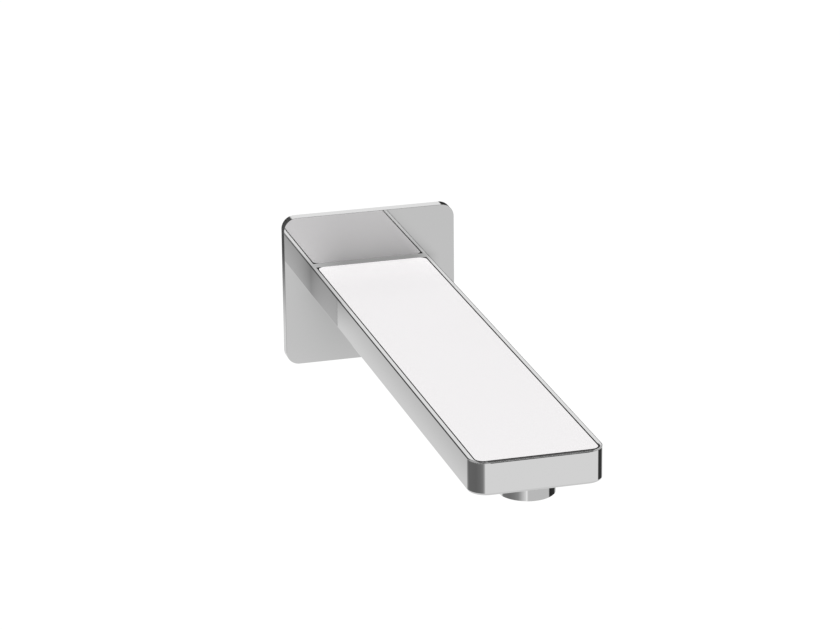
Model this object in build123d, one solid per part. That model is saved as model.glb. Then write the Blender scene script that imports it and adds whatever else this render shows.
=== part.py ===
from build123d import *
import math
import os

os.makedirs("parts", exist_ok=True)

# Wall-mounted basin spout, all sizes in millimetres.
# X runs to the right as seen from the room, +Y runs into the wall, Z is up.
# The origin is the middle of the plate's back face, on the wall.

# Wall plate: a square cover with rounded corners, hollow behind.
PLATE_W = 80.0
PLATE_H = 70.0
PLATE_T = 5.0
PLATE_CORNER_R = 6.0
PLATE_EDGE_R = 0.1
PLATE_FRONT_WALL = 1.6
PLATE_LIP_W = 1.2
GASKET_SEAT_W = 3.2
GASKET_SEAT_D = 1.0
GASKET_SIDE_GAP = 0.1

# Spout body: a flat bar with rounded front corners.
BODY_W = 55.8
BODY_H = 14.2
BODY_TOP_Z = 11.5
PROJECTION = 260.6
BODY_CORNER_R = 7.6
TOP_EDGE_R = 0.5
BOTTOM_EDGE_R = 1.0
BODY_BOTTOM_Z = BODY_TOP_Z - BODY_H

# Recess in the top of the body, with a rim around it, and the white panel that lies in it.
RIM_SIDE_W = 2.0
RIM_REAR_W = 2.54
RIM_FRONT_W = 1.05
LEDGE_W = 2.7
PANEL_T = 1.6
PANEL_CORNER_R = 3.6
PANEL_TOP_CHAMFER = 0.1
PANEL_SIDE_GAP = 0.3
PANEL_REAR_GAP = 0.06
PANEL_FRONT_GAP = 0.8
BOND_T = 0.2
BOND_W = 1.7
BOND_INSET = 0.4
LEDGE_Z = BODY_TOP_Z - PANEL_T - BOND_T
RECESS_HALF_W = BODY_W / 2 - RIM_SIDE_W
RECESS_REAR_Y = -PLATE_T - RIM_REAR_W
RECESS_FRONT_Y = -PROJECTION + RIM_FRONT_W
PANEL_HALF_W = RECESS_HALF_W - PANEL_SIDE_GAP
PANEL_REAR_Y = RECESS_REAR_Y - PANEL_REAR_GAP
PANEL_FRONT_Y = RECESS_FRONT_Y + PANEL_FRONT_GAP

# Water way: socket at the wall, tube along the body, chamber at the front.
WALL_OVER_SOCKET = 1.2
WALL_UNDER_SOCKET = 2.4
SOCKET_L = 26.0
REAR_BLOCK_L = 33.0
FRONT_BLOCK_L = 36.6
TUBE_OD = 7.6
TUBE_ID = 6.2
TUBE_FIT = 0.05
TUBE_START_GAP = 0.4
TUBE_END_GAP = 1.55
POCKET_FLOOR_T = 2.0
POCKET_CORNER_R = 3.0
RIB_T = 2.2
BAY_COUNT = 4
RIB_HOLE_GAP = 0.2
SOCKET_D = LEDGE_Z - BODY_BOTTOM_Z - WALL_OVER_SOCKET - WALL_UNDER_SOCKET
AXIS_Z = BODY_BOTTOM_Z + WALL_UNDER_SOCKET + SOCKET_D / 2
SOCKET_END_Y = -PLATE_T - SOCKET_L
REAR_BLOCK_END_Y = -PLATE_T - REAR_BLOCK_L
FRONT_BLOCK_START_Y = -PROJECTION + FRONT_BLOCK_L

# Outlet, on a vertical axis near the front end.
OUTLET_FROM_TIP = 18.0
CHAMBER_D = 18.1
CHAMBER_ROOF_T = 1.6
OUTLET_RING_SEAT_D = 20.2
OUTLET_RING_SEAT_DEPTH = 1.0
OUTLET_Y = -PROJECTION + OUTLET_FROM_TIP
TUBE_START_Y = SOCKET_END_Y - TUBE_START_GAP
TUBE_END_Y = OUTLET_Y + CHAMBER_D / 2 + TUBE_END_GAP

# Grub screw under the body.
GRUB_FROM_PLATE = 8.0
GRUB_Y = -PLATE_T - GRUB_FROM_PLATE
GRUB_D = 4.0
GRUB_FIT = 0.05
GRUB_DOG_D = 2.4
GRUB_HEX_AF = 2.0
GRUB_HEX_DEPTH = 1.2
PLUG_T = 0.75
PLUG_SEAT_GAP = 0.05

# Inlet nipple: spigot in front, hexagon behind the plate, G1/2 in the wall.
SPIGOT_SIDE_GAP = 0.1
SPIGOT_END_GAP = 0.5
SPIGOT_WALL_AT_RINGS = 0.8
SPIGOT_CHAMFER = 0.5
RING_GROOVE_DEPTH = 1.3
RING_GROOVE_W = 1.9
RING_GROOVE_FROM_END = 3.5
RING_GROOVE_PITCH = 4.5
GRUB_GROOVE_DEPTH = 1.0
GRUB_GROOVE_ROOT_HALF = 1.6
HEX_AF = 27.0
HEX_T = 6.0
PLATE_WASHER_T = 1.0
PLATE_WASHER_D = 18.0
PLATE_HOLE_GAP = 0.2
THREAD_OD = 20.955
THREAD_RELIEF_D = 18.4
THREAD_RELIEF_L = 2.0
THREAD_L = 15.5
THREAD_CHAMFER = 1.0
INLET_BORE_D = 14.0
INLET_BORE_DEPTH = 13.0
SEAL_T = 1.5
SEAL_OD = 26.6
SEAL_HOLE_GAP = 0.15
RING_SKIN_GAP = 0.01
SPIGOT_D = SOCKET_D - 2 * SPIGOT_SIDE_GAP
RING_GROOVE_ROOT_D = SPIGOT_D - 2 * RING_GROOVE_DEPTH
GRUB_GROOVE_ROOT_D = SPIGOT_D - 2 * GRUB_GROOVE_DEPTH
SPIGOT_BORE_D = RING_GROOVE_ROOT_D - 2 * SPIGOT_WALL_AT_RINGS
SPIGOT_FRONT_Y = SOCKET_END_Y + SPIGOT_END_GAP
RING_GROOVE_FRONT_Y = SPIGOT_FRONT_Y + RING_GROOVE_FROM_END
RING_GROOVE_REAR_Y = RING_GROOVE_FRONT_Y + RING_GROOVE_PITCH

# Aerator under the front end.
HOUSING_OD = 23.3
HOUSING_ID = 21.0
HOUSING_DROP = 7.2
HOUSING_TOP_GAP = 0.15
HOUSING_LIP_T = 1.0
HOUSING_LIP_HOLE_D = 18.7
HOUSING_CHAMFER = 0.25
NIPPLE_THREAD_FIT = 0.1
NIPPLE_UPPER_L = 3.0
CHAMBER_FIT = 0.05
CAGE_FLANGE_T = 1.2
CAGE_FLANGE_D = 20.8
CAGE_BODY_D = 15.2
CAGE_SIDE_GAP = 0.2
CAGE_LOWER_BORE_D = 12.0
CAGE_UPPER_BORE_D = 13.4
CAGE_STEP_UP = 3.3
CAGE_TOP_UP = 6.6
CAGE_NOTCH_COUNT = 6
CAGE_NOTCH_W = 2.4
CAGE_NOTCH_DEPTH = 1.1
AERATOR_WASHER_T = 1.0
NIPPLE_BORE_D = CAGE_BODY_D + 2 * CAGE_SIDE_GAP
JET_PLATE_T = 0.9
JET_D = 0.95
JET_RING_COUNTS = (12, 18)
JET_RING_RADII = (3.2, 5.0)
DISC_FIT = 0.1
REGULATOR_T = 1.7
REGULATOR_GROOVE_R = 4.1
REGULATOR_GROOVE_W = 2.0
REGULATOR_GROOVE_DEPTH = 0.8
REGULATOR_PORT_COUNT = 8
REGULATOR_PORT_D = 0.9
REGULATOR_RING_T = 1.5
STRAINER_RIM_T = 0.7
STRAINER_DOME_H = 2.0
STRAINER_SKIN = 0.5
STRAINER_RING_COUNTS = (1, 6, 12)
STRAINER_RING_RADII = (0.0, 1.9, 3.7)
STRAINER_HOLE_D = 1.0
HONEYCOMB_D = 18.5
HONEYCOMB_T = 0.85
CELL_AF = 1.6
CELL_WEB = 0.3
CELL_FIELD_R = 8.6


def at_outlet(shape):
    return Pos(0, OUTLET_Y, 0) * shape


def turned_y(points):
    # A piece turned about the water way's axis; points are radius and Y.
    face = make_face(Polyline(*points, close=True))
    return Pos(0, 0, AXIS_Z) * revolve(face, Axis.Y)


def turned_z(points):
    # A piece turned about the outlet's axis; points are radius and Z.
    face = make_face(Plane.XZ * Polyline(*points, close=True))
    return at_outlet(revolve(face, Axis.Z))


def bar_y(diameter, y_from, y_to):
    # A round bar or bore along the water way's axis.
    length = abs(y_to - y_from)
    middle = (y_from + y_to) / 2
    return Pos(0, middle, AXIS_Z) * (Rot(90, 0, 0) * Cylinder(diameter / 2, length))


def bar_z(diameter, x, y, z_from, z_to):
    # A round bar or bore with a vertical axis.
    middle = (z_from + z_to) / 2
    return Pos(x, y, middle) * Cylinder(diameter / 2, abs(z_to - z_from))


def flat_block(half_w, y_front, y_rear, corner_r, z_from, z_to):
    # A plan rectangle with rounded corners, raised from z_from to z_to.
    outline = RectangleRounded(2 * half_w, y_rear - y_front, corner_r)
    return Pos(0, (y_front + y_rear) / 2, z_from) * extrude(outline, z_to - z_from)


def plate_block(inset, y_from, y_to):
    # The plate's outline, brought in by inset, between two distances from the wall.
    outline = RectangleRounded(
        PLATE_W - 2 * inset, PLATE_H - 2 * inset, max(PLATE_CORNER_R - inset, PLATE_LIP_W)
    )
    return Plane.XZ.offset(-y_to) * extrude(outline, y_to - y_from)


# Spout body
body_length = PROJECTION - PLATE_T
body = Pos(0, -PLATE_T - body_length / 2, BODY_BOTTOM_Z + BODY_H / 2) * Box(
    BODY_W, body_length, BODY_H
)
body = fillet(body.edges().filter_by(Axis.Z).group_by(Axis.Y)[0], BODY_CORNER_R)
rear_y = -PLATE_T - TOP_EDGE_R
top_edges = [e for e in body.faces().sort_by(Axis.Z)[-1].edges() if e.center().Y < rear_y]
body = fillet(top_edges, TOP_EDGE_R)
bottom_edges = [e for e in body.faces().sort_by(Axis.Z)[0].edges() if e.center().Y < rear_y]
body = fillet(bottom_edges, BOTTOM_EDGE_R)

# Recess for the panel, with a ledge all round.
body -= flat_block(
    RECESS_HALF_W,
    RECESS_FRONT_Y,
    RECESS_REAR_Y,
    PANEL_CORNER_R + PANEL_SIDE_GAP,
    LEDGE_Z,
    BODY_TOP_Z + BODY_H,
)

# Open bays between the two end blocks, with ribs between them.
pocket_half_w = RECESS_HALF_W - LEDGE_W
pocket_floor_z = BODY_BOTTOM_Z + POCKET_FLOOR_T
field_l = REAR_BLOCK_END_Y - FRONT_BLOCK_START_Y
bay_l = (field_l - (BAY_COUNT - 1) * RIB_T) / BAY_COUNT
for n in range(BAY_COUNT):
    bay_rear = REAR_BLOCK_END_Y - n * (bay_l + RIB_T)
    body -= flat_block(
        pocket_half_w, bay_rear - bay_l, bay_rear, POCKET_CORNER_R, pocket_floor_z, BODY_TOP_Z
    )

# Water way through the body.
tube_hole_d = TUBE_OD + 2 * TUBE_FIT
rib_hole_d = TUBE_OD + 2 * RIB_HOLE_GAP
body -= bar_y(SOCKET_D, -PLATE_T + BODY_H, SOCKET_END_Y)
body -= bar_y(tube_hole_d, SOCKET_END_Y + RIB_T, REAR_BLOCK_END_Y - RIB_T)
body -= bar_y(rib_hole_d, REAR_BLOCK_END_Y - RIB_T, FRONT_BLOCK_START_Y + RIB_T)
body -= bar_y(tube_hole_d, FRONT_BLOCK_START_Y + RIB_T, OUTLET_Y)
body -= bar_z(CHAMBER_D, 0, OUTLET_Y, BODY_BOTTOM_Z - BODY_H, LEDGE_Z - CHAMBER_ROOF_T)
body -= bar_z(
    OUTLET_RING_SEAT_D,
    0,
    OUTLET_Y,
    BODY_BOTTOM_Z - BODY_H,
    BODY_BOTTOM_Z + OUTLET_RING_SEAT_DEPTH,
)
grub_hole_d = GRUB_D + 2 * GRUB_FIT
body -= bar_z(grub_hole_d, 0, GRUB_Y, BODY_BOTTOM_Z - BODY_H, AXIS_Z)
export_step(body, "parts/spout_body.step")

# White panel
panel = flat_block(
    PANEL_HALF_W, PANEL_FRONT_Y, PANEL_REAR_Y, PANEL_CORNER_R, LEDGE_Z + BOND_T, BODY_TOP_Z
)
panel = chamfer(panel.faces().sort_by(Axis.Z)[-1].edges(), PANEL_TOP_CHAMFER)
export_step(panel, "parts/top_insert.step")

# Adhesive frame on the ledge
bond_half_w = PANEL_HALF_W - BOND_INSET
bond = flat_block(
    bond_half_w,
    PANEL_FRONT_Y + BOND_INSET,
    PANEL_REAR_Y - BOND_INSET,
    PANEL_CORNER_R - BOND_INSET,
    LEDGE_Z,
    LEDGE_Z + BOND_T,
)
bond -= flat_block(
    bond_half_w - BOND_W,
    PANEL_FRONT_Y + BOND_INSET + BOND_W,
    PANEL_REAR_Y - BOND_INSET - BOND_W,
    PANEL_CORNER_R - BOND_INSET - BOND_W,
    LEDGE_Z - BOND_T,
    LEDGE_Z + 2 * BOND_T,
)
export_step(bond, "parts/insert_bond.step")

# Tube along the body
tube = bar_y(TUBE_OD, TUBE_START_Y, TUBE_END_Y)
tube -= bar_y(TUBE_ID, TUBE_START_Y + TUBE_OD, TUBE_END_Y - TUBE_OD)
export_step(tube, "parts/waterway_tube.step")

# Wall plate: lip on the wall, a step for the foam frame, and a hollow behind the front wall.
plate = plate_block(0, -PLATE_T, 0)
front_face = plate.faces().sort_by(Axis.Y)[0]
plate = fillet(front_face.edges(), PLATE_EDGE_R)
plate -= plate_block(PLATE_LIP_W, -GASKET_SEAT_D, PLATE_T)
hollow_inset = PLATE_LIP_W + GASKET_SEAT_W
plate -= plate_block(hollow_inset, -PLATE_T + PLATE_FRONT_WALL, PLATE_T)
plate -= bar_y(SPIGOT_D + 2 * PLATE_HOLE_GAP, -2 * PLATE_T, PLATE_T)
export_step(plate, "parts/wall_plate.step")

# Foam frame in the back of the plate
gasket = plate_block(PLATE_LIP_W + GASKET_SIDE_GAP, -GASKET_SEAT_D, 0)
gasket -= plate_block(hollow_inset - GASKET_SIDE_GAP, -2 * GASKET_SEAT_D, GASKET_SEAT_D)
export_step(gasket, "parts/wall_gasket.step")

# Inlet nipple
spigot_r = SPIGOT_D / 2
ring_root_r = RING_GROOVE_ROOT_D / 2
grub_root_r = GRUB_GROOVE_ROOT_D / 2
grub_flank = spigot_r - grub_root_r
hex_front_y = -PLATE_T + PLATE_FRONT_WALL + PLATE_WASHER_T
hex_rear_y = hex_front_y + HEX_T
relief_end_y = hex_rear_y + THREAD_RELIEF_L
thread_end_y = relief_end_y + THREAD_L
thread_r = THREAD_OD / 2
relief_r = THREAD_RELIEF_D / 2
half_groove = RING_GROOVE_W / 2
nipple_outline = [
    (0, SPIGOT_FRONT_Y),
    (spigot_r - SPIGOT_CHAMFER, SPIGOT_FRONT_Y),
    (spigot_r, SPIGOT_FRONT_Y + SPIGOT_CHAMFER),
]
for groove_y in (RING_GROOVE_FRONT_Y, RING_GROOVE_REAR_Y):
    nipple_outline += [
        (spigot_r, groove_y - half_groove),
        (ring_root_r, groove_y - half_groove),
        (ring_root_r, groove_y + half_groove),
        (spigot_r, groove_y + half_groove),
    ]
nipple_outline += [
    (spigot_r, GRUB_Y - GRUB_GROOVE_ROOT_HALF - grub_flank),
    (grub_root_r, GRUB_Y - GRUB_GROOVE_ROOT_HALF),
    (grub_root_r, GRUB_Y + GRUB_GROOVE_ROOT_HALF),
    (spigot_r, GRUB_Y + GRUB_GROOVE_ROOT_HALF + grub_flank),
    (spigot_r, hex_front_y + HEX_T / 2),
    (relief_r, hex_front_y + HEX_T / 2),
    (relief_r, relief_end_y),
    (thread_r - THREAD_CHAMFER, relief_end_y),
    (thread_r, relief_end_y + THREAD_CHAMFER),
    (thread_r, thread_end_y - THREAD_CHAMFER),
    (thread_r - THREAD_CHAMFER, thread_end_y),
    (0, thread_end_y),
]
nipple = turned_y(nipple_outline)
hexagon = Plane.XZ.offset(-hex_rear_y) * extrude(
    RegularPolygon(HEX_AF / 2, 6, major_radius=False), HEX_T
)
hexagon = chamfer(hexagon.faces().sort_by(Axis.Y)[0].edges(), SPIGOT_CHAMFER)
nipple += Pos(0, 0, AXIS_Z) * hexagon
nipple -= bar_y(SPIGOT_BORE_D, SPIGOT_FRONT_Y - HEX_T, thread_end_y + HEX_T)
inlet_floor_y = thread_end_y - INLET_BORE_DEPTH
inlet_bore_r = INLET_BORE_D / 2
spigot_bore_r = SPIGOT_BORE_D / 2
nipple -= turned_y(
    [
        (0, inlet_floor_y - inlet_bore_r + spigot_bore_r),
        (spigot_bore_r, inlet_floor_y - inlet_bore_r + spigot_bore_r),
        (inlet_bore_r, inlet_floor_y),
        (inlet_bore_r, thread_end_y + HEX_T),
        (0, thread_end_y + HEX_T),
    ]
)
export_step(nipple, "parts/inlet_nipple.step")

# O-rings on the spigot, drawn as squeezed between groove and socket
ring_minor_r = (SOCKET_D - RING_GROOVE_ROOT_D) / 4 - RING_SKIN_GAP
ring_major_r = (SOCKET_D + RING_GROOVE_ROOT_D) / 4
for name, ring_y in (("front", RING_GROOVE_FRONT_Y), ("rear", RING_GROOVE_REAR_Y)):
    ring = Pos(0, ring_y, AXIS_Z) * (Rot(90, 0, 0) * Torus(ring_major_r, ring_minor_r))
    export_step(ring, "parts/spigot_o_ring_" + name + ".step")

# Washer between the plate's front wall and the hexagon
washer_front_y = hex_front_y - PLATE_WASHER_T
plate_washer = bar_y(PLATE_WASHER_D, washer_front_y, hex_front_y)
plate_washer -= bar_y(SPIGOT_D + 2 * PLATE_HOLE_GAP, washer_front_y - HEX_T, hex_rear_y)
export_step(plate_washer, "parts/plate_washer.step")

# Flat seal behind the hexagon
seal = bar_y(SEAL_OD, hex_rear_y, hex_rear_y + SEAL_T)
seal -= bar_y(THREAD_OD + 2 * SEAL_HOLE_GAP, hex_front_y, thread_end_y)
export_step(seal, "parts/nipple_seal.step")

# Grub screw and the plug below it
grub_bottom_z = BODY_BOTTOM_Z + PLUG_T + PLUG_SEAT_GAP
socket_bottom_z = AXIS_Z - SOCKET_D / 2
dog_top_z = AXIS_Z - grub_root_r - GRUB_FIT
grub = bar_z(GRUB_D, 0, GRUB_Y, grub_bottom_z, socket_bottom_z)
grub += bar_z(GRUB_DOG_D, 0, GRUB_Y, socket_bottom_z - GRUB_FIT, dog_top_z)
hex_socket = extrude(RegularPolygon(GRUB_HEX_AF / 2, 6, major_radius=False), GRUB_HEX_DEPTH)
grub -= Pos(0, GRUB_Y, grub_bottom_z) * hex_socket
export_step(grub, "parts/grub_screw.step")
plug = bar_z(GRUB_D, 0, GRUB_Y, BODY_BOTTOM_Z, BODY_BOTTOM_Z + PLUG_T)
export_step(plug, "parts/grub_plug.step")

# Outlet nipple: upper end in the chamber, lower end in the aerator housing
upper_r = CHAMBER_D / 2 - CHAMBER_FIT
lower_r = HOUSING_ID / 2 - NIPPLE_THREAD_FIT
nipple_bore_r = NIPPLE_BORE_D / 2
lip_z = BODY_BOTTOM_Z - HOUSING_DROP + HOUSING_LIP_T
flange_top_z = lip_z + CAGE_FLANGE_T
nipple_low_z = flange_top_z + AERATOR_WASHER_T
outlet_nipple = turned_z(
    [
        (nipple_bore_r, nipple_low_z),
        (lower_r - HOUSING_CHAMFER, nipple_low_z),
        (lower_r, nipple_low_z + HOUSING_CHAMFER),
        (lower_r, BODY_BOTTOM_Z),
        (upper_r, BODY_BOTTOM_Z),
        (upper_r, BODY_BOTTOM_Z + NIPPLE_UPPER_L),
        (nipple_bore_r, BODY_BOTTOM_Z + NIPPLE_UPPER_L),
    ]
)
export_step(outlet_nipple, "parts/outlet_nipple.step")

# O-ring in the step around the nipple
seat_gap = OUTLET_RING_SEAT_D / 2 - upper_r
outlet_ring_minor = min(seat_gap, OUTLET_RING_SEAT_DEPTH) / 2 - RING_SKIN_GAP
outlet_ring_z = BODY_BOTTOM_Z + OUTLET_RING_SEAT_DEPTH / 2
outlet_ring = at_outlet(
    Pos(0, 0, outlet_ring_z) * Torus(upper_r + seat_gap / 2, outlet_ring_minor)
)
export_step(outlet_ring, "parts/outlet_o_ring.step")

# Aerator housing
housing_r = HOUSING_OD / 2
housing_in_r = HOUSING_ID / 2
lip_r = HOUSING_LIP_HOLE_D / 2
housing_low_z = lip_z - HOUSING_LIP_T
housing_top_z = BODY_BOTTOM_Z - HOUSING_TOP_GAP
housing = turned_z(
    [
        (lip_r, housing_low_z),
        (housing_r - HOUSING_CHAMFER, housing_low_z),
        (housing_r, housing_low_z + HOUSING_CHAMFER),
        (housing_r, housing_top_z),
        (housing_in_r, housing_top_z),
        (housing_in_r, lip_z),
        (lip_r, lip_z),
    ]
)
export_step(housing, "parts/aerator_housing.step")

# Cage: a cup on the housing's lip that reaches up into the nipple
cage_step_z = lip_z + CAGE_STEP_UP
cage_top_z = lip_z + CAGE_TOP_UP
cage = turned_z(
    [
        (CAGE_LOWER_BORE_D / 2, lip_z),
        (CAGE_FLANGE_D / 2, lip_z),
        (CAGE_FLANGE_D / 2, flange_top_z),
        (CAGE_BODY_D / 2, flange_top_z),
        (CAGE_BODY_D / 2, cage_top_z),
        (CAGE_UPPER_BORE_D / 2, cage_top_z),
        (CAGE_UPPER_BORE_D / 2, cage_step_z),
        (CAGE_LOWER_BORE_D / 2, cage_step_z),
    ]
)
notch = Box(2 * CAGE_NOTCH_DEPTH, CAGE_NOTCH_W, 4 * CAGE_FLANGE_T)
for spot in PolarLocations(CAGE_FLANGE_D / 2, CAGE_NOTCH_COUNT):
    cage -= Pos(0, OUTLET_Y, lip_z) * (spot * notch)
export_step(cage, "parts/aerator_cage.step")

# Washer between cage flange and nipple
washer = bar_z(CAGE_FLANGE_D, 0, OUTLET_Y, flange_top_z, nipple_low_z)
washer -= bar_z(NIPPLE_BORE_D, 0, OUTLET_Y, lip_z, BODY_BOTTOM_Z)
export_step(washer, "parts/aerator_washer.step")

# Jet plate on the step in the cage
disc_d = CAGE_UPPER_BORE_D - 2 * DISC_FIT
jet_top_z = cage_step_z + JET_PLATE_T
jet_sketch = Circle(disc_d / 2)
for count, ring_r in zip(JET_RING_COUNTS, JET_RING_RADII):
    for spot in PolarLocations(ring_r, count):
        jet_sketch -= spot * Circle(JET_D / 2)
jet_plate = Pos(0, OUTLET_Y, cage_step_z) * extrude(jet_sketch, JET_PLATE_T)
export_step(jet_plate, "parts/aerator_jet_plate.step")

# Flow regulator with a ring groove, ports in the groove's floor
regulator_top_z = jet_top_z + REGULATOR_T
groove_floor_z = regulator_top_z - REGULATOR_GROOVE_DEPTH
regulator = bar_z(disc_d, 0, OUTLET_Y, jet_top_z, regulator_top_z)
groove = Cylinder(REGULATOR_GROOVE_R + REGULATOR_GROOVE_W / 2, 2 * REGULATOR_GROOVE_DEPTH)
groove -= Cylinder(REGULATOR_GROOVE_R - REGULATOR_GROOVE_W / 2, 4 * REGULATOR_GROOVE_DEPTH)
regulator -= Pos(0, OUTLET_Y, regulator_top_z) * groove
port = Cylinder(REGULATOR_PORT_D / 2, 4 * REGULATOR_T)
for spot in PolarLocations(REGULATOR_GROOVE_R, REGULATOR_PORT_COUNT):
    regulator -= Pos(0, OUTLET_Y, jet_top_z) * (spot * port)
export_step(regulator, "parts/flow_regulator.step")
regulator_ring_minor = REGULATOR_RING_T / 2
regulator_ring = Pos(0, OUTLET_Y, groove_floor_z + regulator_ring_minor) * Torus(
    REGULATOR_GROOVE_R, regulator_ring_minor
)
export_step(regulator_ring, "parts/regulator_o_ring.step")

# Domed strainer on the cage: the dome is a spherical cap of the height STRAINER_DOME_H
rim_top_z = cage_top_z + STRAINER_RIM_T
cap_base_r = CAGE_UPPER_BORE_D / 2 - DISC_FIT
sphere_r = (cap_base_r**2 + STRAINER_DOME_H**2) / (2 * STRAINER_DOME_H)
sphere_z = rim_top_z + STRAINER_DOME_H - sphere_r
cap = Pos(0, 0, sphere_z) * Sphere(sphere_r)
cap -= Pos(0, 0, sphere_z) * Sphere(sphere_r - STRAINER_SKIN)
keep = Pos(0, 0, rim_top_z + STRAINER_DOME_H) * Cylinder(cap_base_r, 2 * STRAINER_DOME_H)
cap = cap & keep
rim = Pos(0, 0, cage_top_z + STRAINER_RIM_T / 2) * Cylinder(CAGE_BODY_D / 2, STRAINER_RIM_T)
rim -= Pos(0, 0, cage_top_z) * Cylinder(cap_base_r - STRAINER_SKIN, 4 * STRAINER_RIM_T)
strainer = rim + cap
strainer_drill = Cylinder(STRAINER_HOLE_D / 2, 8 * STRAINER_DOME_H)
for count, ring_r in zip(STRAINER_RING_COUNTS, STRAINER_RING_RADII):
    for spot in PolarLocations(ring_r, count):
        strainer -= spot * strainer_drill
export_step(at_outlet(strainer), "parts/aerator_strainer.step")

# Honeycomb straightener in the housing's lip: rows of hexagonal cells, every second row
# moved by half a cell, and only the cells that lie inside the field are cut.
cell_pitch = CELL_AF + CELL_WEB
row_pitch = cell_pitch * math.sqrt(3) / 2
cell_corner_r = CELL_AF / math.sqrt(3)
reach = CELL_FIELD_R - cell_corner_r
rows = math.ceil(CELL_FIELD_R / row_pitch)
honeycomb_sketch = Circle(HONEYCOMB_D / 2)
cell = Rot(0, 0, 30) * RegularPolygon(cell_corner_r, 6)
for row in range(-rows, rows + 1):
    shift = cell_pitch / 2 if row % 2 else 0.0
    for column in range(-rows, rows + 1):
        cx = column * cell_pitch + shift
        cy = row * row_pitch
        if math.hypot(cx, cy) <= reach:
            honeycomb_sketch -= Pos(cx, cy) * cell
honeycomb = Pos(0, OUTLET_Y, lip_z - HONEYCOMB_T) * extrude(honeycomb_sketch, HONEYCOMB_T)
export_step(honeycomb, "parts/aerator_honeycomb.step")
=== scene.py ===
import math

import bpy
import numpy as np
from mathutils import Matrix, Vector


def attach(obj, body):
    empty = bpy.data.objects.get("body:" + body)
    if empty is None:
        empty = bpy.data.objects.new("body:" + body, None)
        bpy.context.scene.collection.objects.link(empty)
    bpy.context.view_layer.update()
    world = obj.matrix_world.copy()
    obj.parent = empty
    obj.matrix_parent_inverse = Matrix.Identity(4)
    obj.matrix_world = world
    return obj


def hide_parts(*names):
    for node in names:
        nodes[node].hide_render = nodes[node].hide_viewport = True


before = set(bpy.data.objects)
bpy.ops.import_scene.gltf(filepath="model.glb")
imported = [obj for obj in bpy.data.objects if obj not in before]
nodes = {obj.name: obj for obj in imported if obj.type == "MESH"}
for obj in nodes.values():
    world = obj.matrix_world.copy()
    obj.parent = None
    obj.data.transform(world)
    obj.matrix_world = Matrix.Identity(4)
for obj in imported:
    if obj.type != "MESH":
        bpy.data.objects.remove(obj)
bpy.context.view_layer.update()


# The camera stands 1.7 m from the spout, above its left front corner, with a long lens that
# makes its edges almost parallel. Its place and turn come from the straight edges of the
# cover plate and of the bar.
CAMERA_PLACE = (-0.40908, -1.53653, 0.53949)
FOCAL_PIXELS = 3658.34
PICTURE_WIDTH = 840.0
yaw, pitch, roll = np.radians([15.7728, 19.2853, -0.5341])
level_share = math.cos(pitch)
ahead = np.array([math.sin(yaw) * level_share, math.cos(yaw) * level_share, -math.sin(pitch)])
level_right = np.array([math.cos(yaw), -math.sin(yaw), 0.0])
level_up = np.cross(level_right, ahead)
image_right = level_right * math.cos(roll) + level_up * math.sin(roll)
image_up = level_up * math.cos(roll) - level_right * math.sin(roll)
camera_data = bpy.data.cameras.new("camera")
camera_data.sensor_fit = "HORIZONTAL"
camera_data.sensor_width = 36.0
camera_data.lens = FOCAL_PIXELS * 36.0 / PICTURE_WIDTH
camera_data.clip_end = 50.0
camera = bpy.data.objects.new("camera", camera_data)
camera.matrix_world = Matrix.Translation(CAMERA_PLACE) @ Matrix(
    np.stack([image_right, image_up, -ahead], 1).tolist()
).to_4x4()
bpy.context.scene.collection.objects.link(camera)
bpy.context.scene.camera = camera
bpy.context.scene.view_settings.view_transform = "Standard"


# The studio is a white room with soft light from all round. Polished metal shows more of it:
# the white paper below, dark cloths in front, behind and to the sides, and a pale ceiling.
# They give its faces their shades and its edges their dark lines.
class Wire:
    """A socket in a node tree. Arithmetic on it adds Math nodes to that tree, node() adds any
    other node, and both give back the new node's output as a Wire."""

    def __init__(self, tree, socket=None):
        self.tree = tree
        self.socket = socket

    def node(self, kind, settings=None, sockets=None, out=0):
        made = self.tree.nodes.new(kind)
        for name, value in (settings or {}).items():
            if name == "stops":
                ramp = made.color_ramp
                while len(ramp.elements) < len(value):
                    ramp.elements.new(0.5)
                for element, (place, colour) in zip(ramp.elements, value):
                    element.position = place
                    element.color = (colour, colour, colour, 1.0)
            else:
                setattr(made, name, value)
        for name, value in (sockets or {}).items():
            if isinstance(value, Wire):
                self.tree.links.new(value.socket, made.inputs[name])
            else:
                made.inputs[name].default_value = value
        return Wire(self.tree, made.outputs[out] if len(made.outputs) else None)

    def maths(self, operation, *values):
        return self.node("ShaderNodeMath", {"operation": operation}, dict(enumerate(values)))

    def __add__(self, other):
        return self.maths("ADD", self, other)

    def __radd__(self, other):
        return self.maths("ADD", other, self)

    def __sub__(self, other):
        return self.maths("SUBTRACT", self, other)

    def __rsub__(self, other):
        return self.maths("SUBTRACT", other, self)

    def __mul__(self, other):
        return self.maths("MULTIPLY", self, other)

    def __rmul__(self, other):
        return self.maths("MULTIPLY", other, self)

    def __truediv__(self, other):
        return self.maths("DIVIDE", self, other)

    def step(self, low, high):
        """Rises smoothly from 0 where the value is low to 1 where it is high."""
        return self.node(
            "ShaderNodeMapRange",
            {"interpolation_type": "SMOOTHSTEP"},
            {"Value": self, "From Min": low, "From Max": high, "To Min": 0.0, "To Max": 1.0},
        )


world = bpy.data.worlds.new("studio")
bpy.context.scene.world = world
world.use_nodes = True
world.node_tree.nodes.clear()
sky = Wire(world.node_tree)
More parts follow.
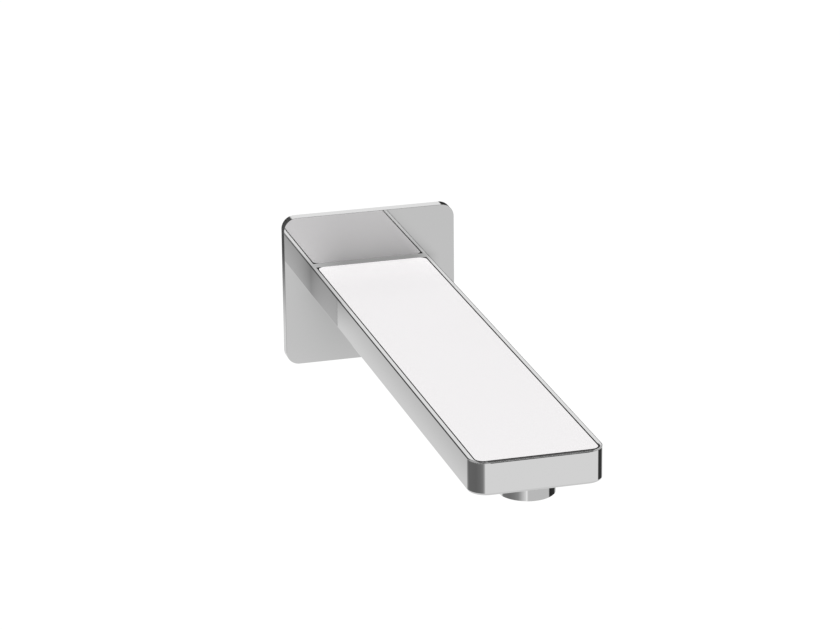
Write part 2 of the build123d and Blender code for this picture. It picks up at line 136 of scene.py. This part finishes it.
# A direction in the room is told by its shares to the east and north, by its turn from the
# front towards the left, and by its rise over the horizon, the last two in degrees.
direction = sky.node("ShaderNodeTexCoord", out="Generated")
east = direction.node("ShaderNodeSeparateXYZ", {}, {0: direction}, 0)
north = direction.node("ShaderNodeSeparateXYZ", {}, {0: direction}, 1)
height = direction.node("ShaderNodeSeparateXYZ", {}, {0: direction}, 2)
turn = (0.0 - east).maths("ARCTAN2", 0.0 - east, 0.0 - north) * (180 / math.pi)
rise = height.maths("ARCSINE", height) * (180 / math.pi)


def shades(angle, half_circle, stops):
    """The brightness that the stops give for an angle in degrees, between minus and plus half
    the circle. Each stop is an angle and its brightness."""
    span = 2 * half_circle
    places = [((degrees + half_circle) / span, bright) for degrees, bright in stops]
    ramp_place = (angle + float(half_circle)) / float(span)
    return angle.node("ShaderNodeValToRGB", {"stops": places}, {0: ramp_place})


paper = shades(turn, 180, [
    (-180, 0.88), (-138, 0.88), (-124, 0.06), (-85, 0.04), (-80, 0.965), (9, 0.965),
    (17, 0.99), (22, 0.56), (27, 0.38), (33, 0.26), (48, 0.205), (75, 0.17),
    (138, 0.18), (145, 0.27), (153, 0.46), (161, 0.80), (180, 0.84),
])
rear_wall = shades(rise, 90, [
    (-18.1, 0.14), (-17.0, 0.04), (14.5, 0.03), (17.0, 1.03),
    (30.0, 1.01), (38.0, 0.19), (90.0, 0.19),
])
front_wall = shades(rise, 90, [
    (-17.0, 0.82), (-15.0, 0.12), (15.0, 0.12), (17.0, 1.55),
    (22.0, 1.55), (23.0, 0.13), (90.0, 0.13),
])
open_room = shades(rise, 90, [
    (-19.0, 0.84), (-9.0, 0.60), (3.0, 0.42), (14.0, 0.58), (32.0, 0.90), (90.0, 0.96),
])

# The walls show only where the front and rear cloths hang, the open room everywhere else. Two
# more cloths hang in it, left and right of the front cloth.
front_room = (0.0 - north).step(-0.15, 0.25)
past_cloth = east.step(-0.09, 0.03)
walls = rear_wall * past_cloth + 0.09 * (1.0 - past_cloth)
walls = walls * (1.0 - front_room) + front_room * front_wall
CLOTH_MIDDLE = 0.257
off_cloth = east - CLOTH_MIDDLE
front_cloth = off_cloth.maths("ABSOLUTE", off_cloth).step(0.15, 0.07)
rear_cloth = north.step(0.78, 0.85)
cloths = front_cloth.maths("MAXIMUM", front_cloth, rear_cloth)
hung_left = east.step(0.19, 0.11) * east.step(-0.86, -0.76)
hung_right = east.step(0.32, 0.40) * east.step(0.72, 0.62)
hung_cloth = (hung_left + hung_right) * north.step(-0.98, -0.90)
hung_cloth = hung_cloth * rise.step(-15.0, -10.0) * rise.step(78.0, 72.0)
room = open_room * (1.0 - hung_cloth) + 0.20 * hung_cloth
upper = walls * cloths + room * (1.0 - cloths)
# The paper's far and near edges lie at different heights, and it is pale right underneath.
far_edge = rise.step(-18.15, -19.6)
near_edge = rise.step(-15.0, -17.2)
on_paper = far_edge * (1.0 - front_room) + near_edge * front_room
paper_fade = 1.0 - 0.18 * front_room * rise.step(-21.4, -19.5)
underneath = rise.step(-24.5, -29.0)
paper_light = paper * paper_fade * (1.0 - underneath) + 0.86 * underneath
mirror_view = upper * (1.0 - on_paper) + paper_light * on_paper
# The camera sees plain white, mirrors see the room, and all else gets soft light.
camera_ray = sky.node("ShaderNodeLightPath", out="Is Camera Ray")
glossy_ray = sky.node("ShaderNodeLightPath", out="Is Glossy Ray")
clear_ray = sky.node("ShaderNodeLightPath", out="Is Transmission Ray")
bounces = sky.node("ShaderNodeLightPath", out="Diffuse Depth")
scattered = bounces.maths("MINIMUM", bounces, 1.0)
reflected = glossy_ray.maths("MAXIMUM", glossy_ray, clear_ray)
soft_light = 0.915 + 1.0 * reflected
mirrored = reflected * (1.0 - scattered)
strength = camera_ray + (1.0 - camera_ray) * (
    mirrored * mirror_view + (1.0 - mirrored) * soft_light
)
white = (1.0, 1.0, 1.0, 1.0)
backdrop = sky.node("ShaderNodeBackground", {}, {"Color": white, "Strength": strength})
sky.node("ShaderNodeOutputWorld", {}, {"Surface": backdrop})

lamp_data = bpy.data.lights.new("soft_box", "AREA")
lamp_data.shape = "RECTANGLE"
lamp_data.size = 1.6
lamp_data.size_y = 1.2
lamp_data.energy = 4.0
lamp = bpy.data.objects.new("soft_box", lamp_data)
lamp_turn = Vector((-0.5, -0.45, 1.5)).to_track_quat("Z", "Y").to_matrix().to_4x4()
lamp.matrix_world = Matrix.Translation((-0.5, -0.6, 1.5)) @ lamp_turn
lamp.visible_glossy = False
lamp.visible_camera = False
bpy.context.scene.collection.objects.link(lamp)


# The floor is a sheet of white paper 0.3 m below the spout. Its colour is that of the white
# background, and only the spout's faint shadow shows on it. From below it is clear, so that
# the spout's underside can be seen.
def grid_mesh(name, points, across_closes=False, along_closes=False):
    """A mesh from a grid of points, rows by columns by 3. Each four neighbours make a face, and
    the last row or column joins the first where that direction closes."""
    rows, columns = points.shape[:2]
    index = np.arange(rows * columns).reshape(rows, columns)
    if along_closes:
        index = np.concatenate([index, index[:1]], 0)
    if across_closes:
        index = np.concatenate([index, index[:, :1]], 1)
    corners = [index[:-1, :-1], index[:-1, 1:], index[1:, 1:], index[1:, :-1]]
    faces = np.stack(corners, -1).reshape(-1, 4)
    mesh = bpy.data.meshes.new(name)
    mesh.from_pydata(points.reshape(-1, 3).tolist(), [], faces.tolist())
    mesh.polygons.foreach_set("use_smooth", np.ones(len(faces), bool))
    mesh.update()
    return mesh


across, away = np.meshgrid(np.linspace(-6.0, 6.0, 13), np.linspace(-6.0, 6.0, 13))
sheet_grid = np.stack([across, away, np.full_like(across, -0.30)], -1)
floor = bpy.data.objects.new("floor", grid_mesh("floor", sheet_grid))
bpy.context.scene.collection.objects.link(floor)
floor.visible_glossy = False
floor.visible_transmission = False
floor_material = bpy.data.materials.new("white_paper")
floor_material.use_nodes = True
floor_material.node_tree.nodes.clear()
sheet = Wire(floor_material.node_tree)
sheet_place = sheet.node("ShaderNodeTexCoord", out="Object")
fibres = sheet.node(
    "ShaderNodeTexNoise", {}, {"Vector": sheet_place, "Scale": 900.0, "Detail": 4.0}
)
lit = sheet.node("ShaderNodeBsdfDiffuse", {}, {"Color": (0.22, 0.22, 0.22, 1.0)})
seen = sheet.node("ShaderNodeLightPath", out="Is Camera Ray")
glow_strength = (0.82 + fibres * 0.01) * seen
glow = sheet.node("ShaderNodeEmission", {}, {"Color": white, "Strength": glow_strength})
paper_shader = sheet.node("ShaderNodeAddShader", {}, {0: lit, 1: glow})
seen_from_below = sheet.node("ShaderNodeNewGeometry", out="Backfacing")
clear = sheet.node("ShaderNodeBsdfTransparent")
either_side = sheet.node(
    "ShaderNodeMixShader", {}, {0: seen_from_below, 1: paper_shader, 2: clear}
)
sheet.node("ShaderNodeOutputMaterial", {}, {"Surface": either_side})
floor.data.materials.append(floor_material)


# The bar of the spout is a brass casting, ground flat, polished and plated with nickel and
# chrome. The plating is a clean mirror with only a trace of polishing marks, and inside, where
# no wheel reaches, the casting stays dull. Its colour also holds painted shade: the recess walls,
# the gap round the panel and the recess's eased edge are painted near black, and a painted
# shade darkens the flanks towards the top and the whole bar towards the wall.
def new_finish(name):
    """A material with an empty node tree, and a Wire with the object's coordinates in metres."""
    material = bpy.data.materials.new(name)
    material.use_nodes = True
    material.node_tree.nodes.clear()
    return material, Wire(material.node_tree).node("ShaderNodeTexCoord", out="Object")


def parts_of(place):
    """The x, y and z of a Wire that holds coordinates."""
    return [place.node("ShaderNodeSeparateXYZ", {}, {0: place}, axis) for axis in range(3)]


def noise(place, scale, detail=2.0, roughness=0.5, stretch=(1.0, 1.0, 1.0)):
    """Cloudy noise about 0.5, with that many lumps to a metre, stretched along an axis where
    that axis's factor is below 1."""
    spread = place.node(
        "ShaderNodeMapping", {"vector_type": "POINT"}, {"Vector": place, "Scale": stretch}
    )
    return place.node(
        "ShaderNodeTexNoise",
        {},
        {"Vector": spread, "Scale": scale, "Detail": detail, "Roughness": roughness},
    )


def bump(height_map, depth):
    """The normal of a surface that rises by depth metres where the map goes from 0 to 1."""
    return height_map.node(
        "ShaderNodeBump", {}, {"Height": height_map, "Distance": depth, "Strength": 1.0}, "Normal"
    )


def blend(factor, first, second):
    """A colour that goes from first to second as the factor goes from 0 to 1."""
    return factor.node("ShaderNodeMix", {"data_type": "RGBA"}, {0: factor, 6: first, 7: second}, 2)


def between(factor, low, high):
    """A number that goes from low to high as the factor goes from 0 to 1."""
    return factor * (high - low) + low


def grey(shade):
    """A grey colour."""
    return (shade, shade, shade, 1.0)


def show(material, place, **sockets):
    """Ends a material in one Principled shader with those sockets, named with _ for a space."""
    values = {name.replace("_", " "): value for name, value in sockets.items()}
    shader = place.node("ShaderNodeBsdfPrincipled", {}, values, "BSDF")
    place.node("ShaderNodeOutputMaterial", {}, {"Surface": shader})
    return material


def dress(material, *names):
    """Gives CAD nodes their material."""
    for name in names:
        for slot in nodes[name].material_slots:
            slot.material = material


def chrome(name, tint, dull_and_shade_tone, dull_and_shade_zone, painted_shade_zone, relief_of=None):
    """Chrome plating: a mirror with faint polishing lines and cloudy traces in its gloss. It takes
    its dull tone where its first zone is 1, a dull grey that on the bar is near black and is
    painted shade. It is darker by the share of painted shade that its second zone gives, and its
    relief is a height in millimetres."""
    material, place = new_finish(name)
    zone = dull_and_shade_zone(*parts_of(place))
    painted_shade = painted_shade_zone(*parts_of(place))
    traces = noise(place, 60.0, 3.0)
    lines = noise(place, 2600.0, 2.0, 0.6, (1.0, 0.06, 1.0))
    casting = noise(place, 900.0, 4.0, 0.6)
    relief = relief_of(*parts_of(place)) if relief_of else 0.0
    # The painted shade darkens the mirror's colour towards black.
    bright = blend(painted_shade, grey(tint), grey(0.0))
    # On the bar the dull tone is near black, painted shade in the recess and the gap.
    dark_grain = (dull_and_shade_tone, dull_and_shade_tone, dull_and_shade_tone * 0.94, 1.0)
    light_grain = (dull_and_shade_tone * 1.7, dull_and_shade_tone * 1.65, dull_and_shade_tone * 1.5, 1.0)
    rough = blend(casting, dark_grain, light_grain)
    gloss = between(traces, 0.018, 0.038) + lines * 0.012
    return show(
        material,
        place,
        Base_Color=blend(zone, bright, rough),
        Metallic=1.0,
        Roughness=gloss * (1.0 - zone) + zone * between(casting, 0.34, 0.55),
        Normal=bump(zone * casting * 0.12 + relief, 0.001),
    )


RECESS_MIDDLE = (0.0220, 0.25565)
RECESS_RADIUS = 0.0039
PANEL_REAR = -0.0077
UNDER_TOP = 0.01147
BARE_BELOW = -0.0022
CORNER_MIDDLE = (0.0203, 0.2530)
CORNER_RADIUS = 0.0076
SLOPE_START = 0.01083


def from_middle(x, y, middle):
    """The distance in plan from a front corner's middle, left and right alike. It counts only
    what lies beyond the middle, to the side and to the front, so that it also measures from
    the straight edges that the corner joins."""
    aside = x.maths("ABSOLUTE", x) - middle[0]
    forward = 0.0 - y - middle[1]
    aside = aside.maths("MAXIMUM", aside, 0.0)
    forward = forward.maths("MAXIMUM", forward, 0.0)
    return aside.maths("SQRT", aside * aside + forward * forward)


def inside_and_shaded_bar(x, y, z):
    """1 in the recess under the panel, in the gap round it, on the top's eased edge round the
    recess up to the panel's rear end, and inside the bar's bores. There the bar is dull and
    painted with near black shade. The recess is a rounded rectangle, and its edge lies one radius
    from its corner's middle."""
    outside = from_middle(x, y, RECESS_MIDDLE) - RECESS_RADIUS
    under_top = outside.step(0.00006, 0.00002) * (UNDER_TOP - z).step(0.0, 0.00004)
    # Painted shade: the top's eased edge round the recess is darkened with the gap.
    shaded_eased_edge = outside.step(0.00012, 0.00007) * (PANEL_REAR - y).step(0.0, 0.0001)
    in_recess = under_top.maths("MAXIMUM", under_top, shaded_eased_edge)
    return in_recess * (z - BARE_BELOW).step(0.0, 0.0004)


def bar_painted_shade(x, y, z):
    """The share of painted shade on the bar: on the flanks it rises with the height above the
    middle, and all round it is a painted contact shadow that falls off exponentially with the
    distance from the wall, where the top has less of it."""
    # Painted shade on the flanks, darker higher up, and a painted contact shadow near the wall.
    flank = (x.maths("ABSOLUTE", x)).step(0.0274, 0.0279)
    painted_near_wall = y.maths("EXPONENT", (y + 0.005) / 0.0115)
    return flank * (z / 0.0095) * 0.21 + painted_near_wall * between(z.step(0.0112, 0.0114), 0.36, 0.25)


def bar_relief(x, y, z):
    """The height in millimetres that the top loses towards its front edge and round the front
    corners, in a slope that narrows to nothing along the sides, and that the front face loses
    in its topmost part."""
    inward = CORNER_RADIUS - from_middle(x, y, CORNER_MIDDLE)
    along_front = x.step(-0.0250, -0.0210) * x.step(0.0270, 0.0230)
    slope_width = between(along_front, 0.0003, 0.0012) * y.step(-0.2510, -0.2575)
    rim = z.step(0.0108, 0.0109) * inward.maths("MINIMUM", inward, slope_width) * 450.0
    above_start = z - SLOPE_START
    on_front = (0.0 - y).step(0.2596, 0.2600)
    return rim - on_front * above_start.maths("MAXIMUM", above_start, 0.0) * 90.0


# The dull tone 0.04 is near black: painted shade in the recess, the gap and on the eased edge.
dress(chrome("chrome_bar", 0.66, 0.04, inside_and_shaded_bar, bar_painted_shade, bar_relief), "spout_body")


# The panel let into the top of the bar is a plate of white plastic with a soft gloss. It is
# cut to shape, its edge is eased, and tape holds it down in its recess. Its sides and underside
# are painted near black as shade of the gap round it. The faint glow at its rear end is painted
# light: an emission that stands in for the light that the cover plate throws on it.
material, place = new_finish("white_panel")
x, y, z = parts_of(place)
peel = noise(place, 1400.0)
cloud = noise(place, 25.0, 3.0)
face = blend(cloud, (0.898, 0.882, 0.890, 1.0), (0.908, 0.892, 0.900, 1.0))
off_middle = x.maths("ABSOLUTE", x + 0.00005)
# Painted shade: the panel's cut sides and its underside are near black.
shaded_cut_edge = off_middle.step(0.02542, 0.02546)
painted_edge_shade = shaded_cut_edge.maths("MAXIMUM", shaded_cut_edge, z.step(0.011495, 0.01148))
# Painted light: the rear end glows by emission, fading away from the wall.
painted_near_wall = y.maths("EXPONENT", (y + 0.005) / 0.022) * (1.0 - painted_edge_shade)
show(
    material,
    place,
    Base_Color=blend(painted_edge_shade, face, grey(0.03)),
    Roughness=between(peel, 0.30, 0.36),
    Specular_IOR_Level=0.3,
    Emission_Color=blend(painted_near_wall, grey(0.0), (0.22, 0.216, 0.218, 1.0)),
    Emission_Strength=1.0,
    Normal=bump(peel, 0.000004),
)
dress(material, "top_insert")


# The tape under the panel is a thin soft bed of white adhesive foam, pressed flat.
material, place = new_finish("adhesive_tape")
cells = noise(place, 3200.0, 3.0)
show(
    material,
    place,
    Base_Color=blend(cells, (0.70, 0.70, 0.68, 1.0), (0.80, 0.80, 0.78, 1.0)),
    Roughness=between(cells, 0.55, 0.8),
    Normal=bump(cells, 0.00005),
)
dress(material, "insert_bond")


# The water way is a drawn copper tube, soldered into the blocks at the bar's two ends. Long
# die marks run along it, and the heat has darkened it in places.
material, place = new_finish("drawn_copper")
die_marks = noise(place, 2500.0, 3.0, 0.6, (1.0, 0.01, 1.0))
heat = noise(place, 45.0, 4.0, 0.6)
show(
    material,
    place,
    Base_Color=blend(heat.step(0.35, 0.75), (0.80, 0.46, 0.31, 1.0), (0.45, 0.23, 0.15, 1.0)),
    Metallic=1.0,
    Roughness=between(die_marks, 0.18, 0.38),
    Normal=bump(die_marks, 0.00001),
)
dress(material, "waterway_tube")


# The cover plate is pressed and machined from brass and chromed as the bar is. Its hollow back,
# which faces the wall, is dull. A painted shade darkens its face above and below the bar.
PLATE_HOLLOW = (0.0387, -0.0036, 0.0337)
BAR_TOP = 0.0115
BAR_UNDERSIDE = -0.0027


def behind_plate(x, y, z):
    """1 inside the plate's hollow, which its lip encloses."""
    sideways = (PLATE_HOLLOW[0] - x.maths("ABSOLUTE", x)).step(0.0, 0.0002)
    upright = (PLATE_HOLLOW[2] - z.maths("ABSOLUTE", z)).step(0.0, 0.0002)
    return sideways * upright * (y - PLATE_HOLLOW[1]).step(0.0, 0.0002)


def plate_painted_shade(x, y, z):
    """The share of painted shade on the plate, a painted contact shadow round the bar. It lies
    above and below the bar and falls off exponentially with the distance from it. Above, a weak
    narrow band of it also leans from the bar's right edge to the left."""
    face = y.step(-0.0047, -0.0049)
    over = (z - BAR_TOP).maths("MAXIMUM", z - BAR_TOP, 0.0)
    under = (BAR_UNDERSIDE - z).maths("MAXIMUM", BAR_UNDERSIDE - z, 0.0)
    leaning_x = x + over * 0.81
    over_width = x.step(-0.040, -0.010) * leaning_x.step(0.034, 0.020)
    under_width = x.step(-0.040, -0.008) * x.step(0.034, 0.018)
    # Painted contact shadow above and below the bar.
    painted_shade_over = over_width * 0.50 * over.maths("EXPONENT", over * (-1 / 0.0125))
    painted_shade_under = under_width * 0.40 * under.maths("EXPONENT", under * (-1 / 0.019))
    # A weak band of painted shade leans left from the bar's right edge.
    painted_shade_band = leaning_x.step(0.0255, 0.0262) * leaning_x.step(0.0281, 0.0271)
    painted_shade_over = painted_shade_over + painted_shade_band * over.step(0.002, 0.005) * 0.15
    return face * between(z.step(0.002, 0.007), painted_shade_under, painted_shade_over)


dress(chrome("chrome_plate", 0.66, 0.16, behind_plate, plate_painted_shade), "wall_plate")


# A frame of closed-cell foam lies in the back of the plate and seals it against the wall. Its
# surface shows the cut cells.
material, place = new_finish("black_foam")
cell = place.node(
    "ShaderNodeTexVoronoi",
    {"feature": "DISTANCE_TO_EDGE"},
    {"Vector": place, "Scale": 2600.0},
    "Distance",
)
pores = (cell * 3.0).step(0.0, 1.0)
soot = noise(place, 300.0, 2.0)
show(
    material,
    place,
    Base_Color=blend(pores, (0.10, 0.10, 0.10, 1.0), (0.055, 0.055, 0.057, 1.0)),
    Roughness=between(soot, 0.75, 0.95),
    Normal=bump(1.0 - pores, 0.00012),
)
dress(material, "wall_gasket")


# The inlet nipple is turned from brass: a spigot with two ring grooves and a groove for the
# locking screw, a hexagon for the spanner, and a G1/2 thread that screws into the wall outlet.
# The cutting tool leaves fine rings on it.
THREAD_PITCH = 1.814
THREAD_R = 10.4775
THREAD_DEPTH = 1.162
NIPPLE_HEIGHT = 4.1


def turned_brass(name, axis_from):
    """Turned brass: rings from the tool about the piece's axis, and a light tarnish. The
    function gives the place along the axis and the two places across it from x, y and z."""
    material, place = new_finish(name)
    along, aside, upright = axis_from(*parts_of(place))
    radius = aside.maths("SQRT", aside * aside + upright * upright)
    ring_place = along.node("ShaderNodeCombineXYZ", {}, {0: along, 1: radius, 2: 0.0})
    rings = noise(ring_place, 5200.0, 3.0, 0.6)
    tarnish = noise(place, 110.0, 4.0, 0.6)
    return show(
        material,
        place,
        Base_Color=blend(tarnish.step(0.4, 0.8), (0.83, 0.66, 0.36, 1.0), (0.58, 0.43, 0.22, 1.0)),
        Metallic=1.0,
        Roughness=between(rings, 0.16, 0.34),
        Normal=bump(rings, 0.000012),
    )


def nipple_grid(columns=144, rows_a_turn=28):
    """The nipple as one closed grid of points. Rows follow its outline in millimetres, from the
    spigot's end along the outside and back through the bore, and columns go round the axis. On
    the hexagon the radius is half the width over flats divided by the cosine of the angle from
    the nearest flat's middle. On the thread it is the mean radius plus half the depth times a
    triangle wave with rounded crests and roots, whose phase is the distance along the axis over
    the pitch less the share of a turn, and the end chamfers cut it off."""
    angle = np.arange(columns) * (2 * math.pi / columns)
    spigot = [(-30.5, 2.2), (-30.5, 3.8), (-30.0, 4.3)]
    for middle in (-27.0, -22.5):
        half_groove = [(0.85, 3.0), (0.95, 3.1), (0.95, 4.15), (1.10, 4.3)]
        spigot += [(middle - aside, radius) for aside, radius in reversed(half_groove)]
        spigot += [(middle + aside, radius) for aside, radius in half_groove]
    spigot += [(-15.6, 4.3), (-14.6, 3.3), (-11.4, 3.3), (-10.4, 4.3), (-2.4, 4.3)]
    hexagon = [(-2.4, 13.0), (-1.9, 13.5), (3.6, 13.5)]
    neck = [(3.6, 9.2), (5.6, 9.2)]
    thread_y = np.linspace(5.6, 21.1, int(rows_a_turn * 15.5 / THREAD_PITCH))
    bore = [(21.1, 7.0), (8.1, 7.0), (3.3, 2.2)]
    phase = (thread_y[:, None] / THREAD_PITCH - angle / (2 * math.pi)) % 1.0
    flank = (0.5 - np.abs(2.0 * phase - 1.0)) * 3.0
    wave = flank / (1.0 + np.abs(flank) ** 8) ** 0.125
    thread_r = THREAD_R - THREAD_DEPTH / 2 + THREAD_DEPTH / 2 * wave
    chamfer_r = THREAD_R - np.maximum(np.maximum(6.6 - thread_y, thread_y - 20.1), 0.0)
    from_flat = np.cos((angle + math.pi / 6) % (math.pi / 3) - math.pi / 6)
    spigot, hexagon, neck, bore = (np.array(rows) for rows in (spigot, hexagon, neck, bore))
    all_round = np.ones(columns)
    radius = np.concatenate([
        spigot[:, 1:] * all_round,
        hexagon[:, 1:] / from_flat,
        neck[:, 1:] * all_round,
        np.minimum(thread_r, chamfer_r[:, None]),
        bore[:, 1:] * all_round,
    ])
    along = np.concatenate([spigot[:, 0], hexagon[:, 0], neck[:, 0], thread_y, bore[:, 0]])
    upright = NIPPLE_HEIGHT + radius * np.cos(angle)
    points = [radius * np.sin(angle), along[:, None] * all_round, upright]
    return np.stack(points, -1) / 1000.0


def nipple_axis(x, y, z):
    """Along +Y at the nipple's height."""
    return y, x, z - NIPPLE_HEIGHT / 1000.0


nipple_mesh = grid_mesh("threaded_nipple", nipple_grid(), True, True)
nipple_mesh.set_sharp_from_angle(angle=math.radians(30.0))
nipple_mesh.materials.append(turned_brass("brass_nipple", nipple_axis))
threaded_nipple = bpy.data.objects.new("threaded_nipple", nipple_mesh)
bpy.context.scene.collection.objects.link(threaded_nipple)
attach(threaded_nipple, "root")
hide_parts("inlet_nipple")


# The O-rings, washers and seals are moulded from black rubber with a slight satin bloom.
material, place = new_finish("black_rubber")
bloom = noise(place, 260.0, 3.0)
skin = noise(place, 4200.0, 2.0)
show(
    material,
    place,
    Base_Color=blend(bloom.step(0.3, 0.8), (0.022, 0.022, 0.023, 1.0), (0.05, 0.05, 0.052, 1.0)),
    Roughness=between(skin, 0.42, 0.6),
    Normal=bump(skin, 0.00001),
)
dress(
    material,
    "spigot_o_ring_front", "spigot_o_ring_rear", "plate_washer", "nipple_seal",
    "outlet_o_ring", "aerator_washer", "regulator_o_ring",
)


# The grub screw that locks the bar on the nipple is stainless steel, and a grey plastic plug
# hides its socket under the bar.
material, place = new_finish("stainless_steel")
grain = noise(place, 3000.0, 3.0, 0.6, (1.0, 1.0, 0.1))
show(
    material,
    place,
    Base_Color=blend(grain, (0.50, 0.50, 0.50, 1.0), (0.60, 0.60, 0.59, 1.0)),
    Metallic=1.0,
    Roughness=between(grain, 0.22, 0.42),
    Normal=bump(grain, 0.00001),
)
dress(material, "grub_screw")


def moulded(name, dark, light, gloss):
    """Moulded plastic: a fine eroded grain, and a gloss that varies a little."""
    material, place = new_finish(name)
    grain = noise(place, 5200.0, 3.0, 0.6)
    flow = noise(place, 160.0, 2.0)
    return show(
        material,
        place,
        Base_Color=blend(flow, (*dark, 1.0), (*light, 1.0)),
        Roughness=between(grain, gloss, gloss + 0.15),
        Normal=bump(grain, 0.00001),
    )


grey_plastic = moulded("grey_plastic", (0.42, 0.43, 0.44), (0.48, 0.49, 0.50), 0.38)
dress(grey_plastic, "grub_plug")


# The outlet under the bar's front end is a round aerator. Its chromed housing screws onto a
# brass nipple, and holds the plastic cage with its strainer, flow regulator and jet plate. Its
# chrome is lighter than the bar's, and a painted shade darkens all of it but its left side.
OUTLET_Y = -0.2426
THREADED_BORE = 0.0107
HOUSING_LIP = -0.0094


def inside_housing(x, y, z):
    """1 in the housing's threaded bore."""
    back = y - OUTLET_Y
    radius = x.maths("SQRT", x * x + back * back)
    return (THREADED_BORE - radius).step(0.0, 0.0003) * (z - HOUSING_LIP).step(0.0, 0.0002)


def outlet_axis(x, y, z):
    """Along +Z through the outlet."""
    return z, x, y - OUTLET_Y


def housing_turn(x, y):
    """The angle round the housing in radians, from its front towards its left."""
    return x.maths("ARCTAN2", 0.0 - x, OUTLET_Y - y)


def housing_painted_shade(x, y, z):
    """The share of painted shade on the housing: all but its left side has it."""
    return housing_turn(x, y).step(0.33, 0.24) * 0.44


def housing_relief(x, y, z):
    """The height in millimetres of a slight flat on the housing's left side."""
    angle = housing_turn(x, y)
    return angle.step(0.33, 1.10) * 1.05 - angle.step(1.15, 1.50) * 0.57


# A painted shade darkens the housing on all but its left side, which keeps the light tint.
chrome_aerator = chrome(
    "chrome_aerator", 0.88, 0.12, inside_housing, housing_painted_shade, housing_relief
)
dress(chrome_aerator, "aerator_housing")
dress(turned_brass("brass_outlet", outlet_axis), "outlet_nipple")
white_plastic = moulded("white_plastic", (0.82, 0.83, 0.83), (0.87, 0.88, 0.88), 0.34)
dress(white_plastic, "aerator_cage", "aerator_strainer", "flow_regulator", "aerator_jet_plate")
dress(grey_plastic, "aerator_honeycomb")
